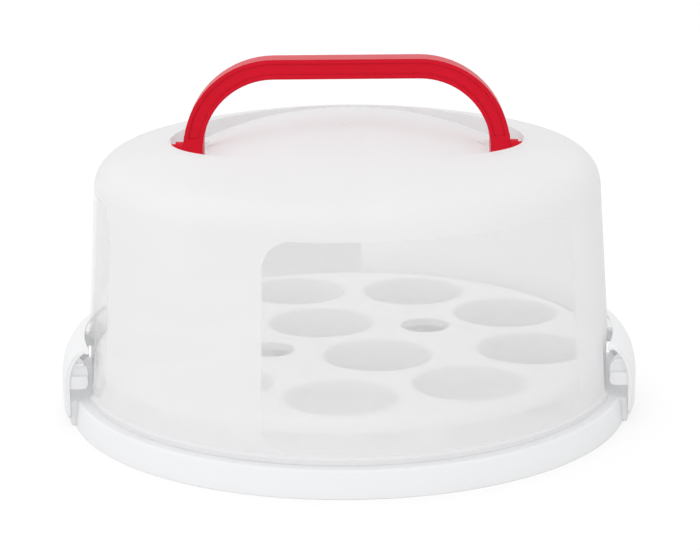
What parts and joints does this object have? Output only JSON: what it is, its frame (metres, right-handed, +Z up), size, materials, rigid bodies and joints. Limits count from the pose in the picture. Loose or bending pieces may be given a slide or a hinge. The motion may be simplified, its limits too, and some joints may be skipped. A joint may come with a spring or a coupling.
{
  "type": "cake carrier",
  "caption": "Round cake carrier: base tray, lift-off frosted dome lid with a folding bow handle, two hinged side clips and a cupcake insert.",
  "frame": {"origin": "middle of the base's underside, on the surface that it stands on", "axes": "+Z up, +X through the right clip and the right leg of the handle, -Y to the front"},
  "size_m": [0.3472, 0.336, 0.2122],
  "materials": {
    "base_plastic": "satin white",
    "lid_plastic": "milky, translucent",
    "handle_plastic": "satin red",
    "clip_plastic": "satin white",
    "insert_plastic": "thin satin white"
  },
  "bodies": {
    "base": {"base_tray": "base_plastic"},
    "lid": {"lid": "lid_plastic"},
    "handle": {"handle": "handle_plastic"},
    "clip_left": {"clip_left": "clip_plastic"},
    "clip_right": {"clip_right": "clip_plastic"},
    "insert": {"cupcake_insert": "insert_plastic"}
  },
  "joints": [
    {"name": "lid_lift", "type": "slide", "parent": "base", "child": "lid", "axis": [0, 0, 1], "range_m": [0, 0.2]},
    {"name": "handle_fold", "type": "hinge", "parent": "lid", "child": "handle", "pos_m": [0, 0, 0.1574], "axis": [1, 0, 0], "range_deg": [-55, 55]},
    {"name": "clip_left_swing", "type": "hinge", "parent": "base", "child": "clip_left", "pos_m": [-0.1707, 0, 0.0046], "axis": [0, -1, 0], "range_deg": [0, 90]},
    {"name": "clip_right_swing", "type": "hinge", "parent": "base", "child": "clip_right", "pos_m": [0.1707, 0, 0.0046], "axis": [0, 1, 0], "range_deg": [0, 90]},
    {"name": "insert_lift", "type": "slide", "parent": "base", "child": "insert", "axis": [0, 0, 1], "range_m": [0, 0.1]}
  ],
  "couplings": [
    {"joint": "insert_lift", "follows": "lid_lift", "ratio": 0.5}
  ]
}
